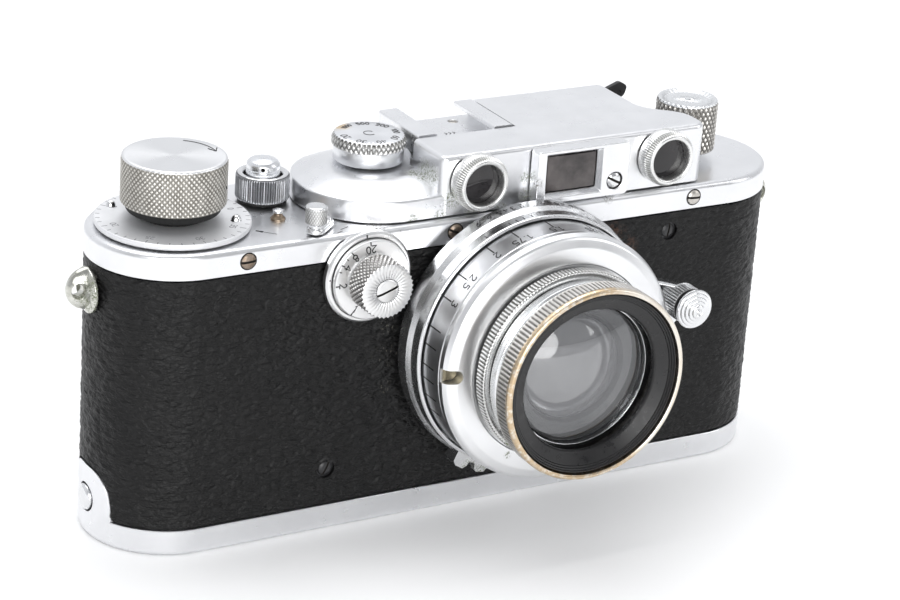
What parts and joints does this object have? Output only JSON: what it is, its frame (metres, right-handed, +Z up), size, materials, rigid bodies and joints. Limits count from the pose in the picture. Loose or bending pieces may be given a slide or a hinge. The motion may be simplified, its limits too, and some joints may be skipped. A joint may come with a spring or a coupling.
{
  "type": "rangefinder camera",
  "caption": "Compact 35 mm rangefinder camera with oval body, finder housing, winding and rewind knobs, drop-open base plate and a collapsible focusing lens.",
  "frame": {"origin": "centre of the oval body's footprint, on the base plate's underside", "axes": "+X along the body from the winding knob towards the rewind knob, -Y the way the lens points, +Z up"},
  "size_m": [0.1416, 0.0583, 0.0674],
  "materials": {
    "bright_chrome": "satin chrome plate with fine brushing",
    "satin_chrome": "dull chrome plate",
    "vulcanite": "pebble grain hard rubber",
    "black_enamel": "semi-gloss black",
    "aluminium": "dull, inside black",
    "brass": "turned",
    "steel": "turned",
    "glass": "polished"
  },
  "bodies": {
    "root": {"body_shell": "aluminium", "body_covering": "vulcanite", "front_screw_left": "black_enamel", "front_screw_right": "black_enamel", "strap_lug_left": "satin_chrome", "strap_lug_right": "satin_chrome", "hook_stud": "bright_chrome", "top_plate": "bright_chrome", "top_screw_left": "satin_chrome", "top_screw_middle": "satin_chrome", "top_screw_right": "satin_chrome", "finder_housing": "bright_chrome", "accessory_shoe": "bright_chrome", "rf_bezel_left": "satin_chrome", "rf_glass_left": "glass", "rf_bezel_right": "satin_chrome", "rf_glass_right": "glass", "viewfinder_frame": "bright_chrome", "viewfinder_glass": "glass", "viewfinder_eyepiece": "black_enamel", "release_collar": "satin_chrome", "slow_dial_base": "satin_chrome", "inner_chassis": "aluminium", "pressure_plate": "black_enamel", "shutter_curtain": "black_enamel", "body_flange": "bright_chrome", "lens_mount_base": "bright_chrome"},
    "winding": {"advance_knob": "bright_chrome", "winding_shaft": "brass", "takeup_spool": "black_enamel"},
    "counter": {"counter_dial": "satin_chrome"},
    "sprocket_body": {"sprocket": "steel"},
    "drum": {"shutter_drum": "brass"},
    "dial_lift": {"speed_dial_sleeve": "steel"},
    "dial": {"speed_dial": "bright_chrome"},
    "roller": {"spring_roller": "brass"},
    "release": {"release_button": "bright_chrome"},
    "rewind_switch": {"rewind_lever": "bright_chrome"},
    "slow_dial": {"slow_speed_dial": "bright_chrome", "slow_speed_knob": "bright_chrome", "slow_speed_screw": "satin_chrome"},
    "rewind": {"rewind_shaft": "steel"},
    "rewind_pull": {"rewind_knob": "bright_chrome"},
    "dioptre": {"dioptre_ring": "black_enamel"},
    "base": {"base_plate": "bright_chrome", "tripod_bush": "brass"},
    "lock": {"lock_key": "bright_chrome"},
    "handle": {"lock_handle": "bright_chrome"},
    "helicoid": {"helicoid_ring": "brass"},
    "focus": {"distance_ring": "bright_chrome", "focus_flange": "bright_chrome", "bayonet_ring": "satin_chrome", "focus_lever": "bright_chrome"},
    "button": {"infinity_button": "bright_chrome"},
    "barrel": {"lens_tube": "bright_chrome", "name_ring": "black_enamel", "front_glass": "glass", "rear_cell": "black_enamel"},
    "aperture": {"aperture_ring": "satin_chrome"},
    "rf_arm": {"rangefinder_arm": "steel"}
  },
  "joints": [
    {"name": "advance_turn", "type": "hinge", "parent": "root", "child": "winding", "pos_m": [-0.0516, 0, 0.06], "axis": [0, 0, 1], "continuous": true},
    {"name": "counter_turn", "type": "hinge", "parent": "root", "child": "counter", "pos_m": [-0.0516, 0, 0.0558], "axis": [0, 0, 1], "continuous": true},
    {"name": "sprocket_turn", "type": "hinge", "parent": "root", "child": "sprocket_body", "pos_m": [-0.03164, 0.0012, 0.03], "axis": [0, 0, 1], "continuous": true},
    {"name": "drum_turn", "type": "hinge", "parent": "root", "child": "drum", "pos_m": [-0.01367, 0.0022, 0.03], "axis": [0, 0, 1], "continuous": true},
    {"name": "roller_turn", "type": "hinge", "parent": "root", "child": "roller", "pos_m": [0.0315, 0.0045, 0.03], "axis": [0, 0, 1], "continuous": true},
    {"name": "speed_dial_lift", "type": "slide", "parent": "drum", "child": "dial_lift", "axis": [0, 0, 1], "range_m": [0, 0.002], "stiffness_N_per_m": 200},
    {"name": "speed_dial_turn", "type": "hinge", "parent": "dial_lift", "child": "dial", "pos_m": [-0.01367, 0.0022, 0.063], "axis": [0, 0, 1], "range_deg": [-140, 140]},
    {"name": "release_press", "type": "slide", "parent": "root", "child": "release", "axis": [0, 0, -1], "range_m": [0, 0.002], "stiffness_N_per_m": 400},
    {"name": "rewind_lever_turn", "type": "hinge", "parent": "root", "child": "rewind_switch", "pos_m": [-0.0283, -0.0096, 0.056], "axis": [0, 0, 1], "range_deg": [-65, 0]},
    {"name": "slow_speed_turn", "type": "hinge", "parent": "root", "child": "slow_dial", "pos_m": [-0.0224, -0.018, 0.0473], "axis": [0, -1, 0], "range_deg": [-30, 240]},
    {"name": "rewind_turn", "type": "hinge", "parent": "root", "child": "rewind", "pos_m": [0.0511, 0, 0.05], "axis": [0, 0, 1], "continuous": true},
    {"name": "rewind_knob_pull", "type": "slide", "parent": "rewind", "child": "rewind_pull", "axis": [0, 0, 1], "range_m": [0, 0.006]},
    {"name": "dioptre_turn", "type": "hinge", "parent": "root", "child": "dioptre", "pos_m": [0.0375, 0.014, 0.061], "axis": [0, 1, 0], "range_deg": [-45, 22]},
    {"name": "base_swing", "type": "hinge", "parent": "root", "child": "base", "pos_m": [-0.066, 0, 0.012], "axis": [0, 1, 0], "range_deg": [0, 16]},
    {"name": "lock_turn", "type": "hinge", "parent": "base", "child": "lock", "pos_m": [0.0511, 0, 0.002], "axis": [0, 0, -1], "range_deg": [0, 180]},
    {"name": "lock_handle_fold", "type": "hinge", "parent": "lock", "child": "handle", "pos_m": [0.0511, 0, 0.00075], "axis": [1, 0, 0], "range_deg": [0, 90]},
    {"name": "helicoid_travel", "type": "slide", "parent": "root", "child": "helicoid", "axis": [0, -1, 0], "range_m": [-0.0021, 0.00075]},
    {"name": "focus_turn", "type": "hinge", "parent": "helicoid", "child": "focus", "pos_m": [0.00766, -0.029, 0.0335], "axis": [0, -1, 0], "range_deg": [-127, 45]},
    {"name": "infinity_press", "type": "slide", "parent": "focus", "child": "button", "axis": [0, 1, 0], "range_m": [0, 0.001], "stiffness_N_per_m": 400},
    {"name": "lens_extend", "type": "slide", "parent": "focus", "child": "barrel", "axis": [0, -1, 0], "range_m": [0, 0.016]},
    {"name": "aperture_turn", "type": "hinge", "parent": "barrel", "child": "aperture", "pos_m": [0.00766, -0.041, 0.0335], "axis": [0, -1, 0], "range_deg": [0, 65]},
    {"name": "rangefinder_arm_swing", "type": "hinge", "parent": "root", "child": "rf_arm", "pos_m": [-0.0095, -0.007, 0.048], "axis": [0, 0, 1], "range_deg": [-2.6, 7.1]}
  ],
  "couplings": [
    {"joint": "counter_turn", "follows": "advance_turn", "ratio": 0.025},
    {"joint": "sprocket_turn", "follows": "advance_turn", "ratio": -1},
    {"joint": "drum_turn", "follows": "advance_turn", "ratio": 1.25},
    {"joint": "roller_turn", "follows": "advance_turn", "ratio": 1.953},
    {"joint": "helicoid_travel", "follows": "focus_turn", "m_per_rad": 0.000934},
    {"joint": "rangefinder_arm_swing", "follows": "focus_turn", "ratio": -0.05443}
  ]
}
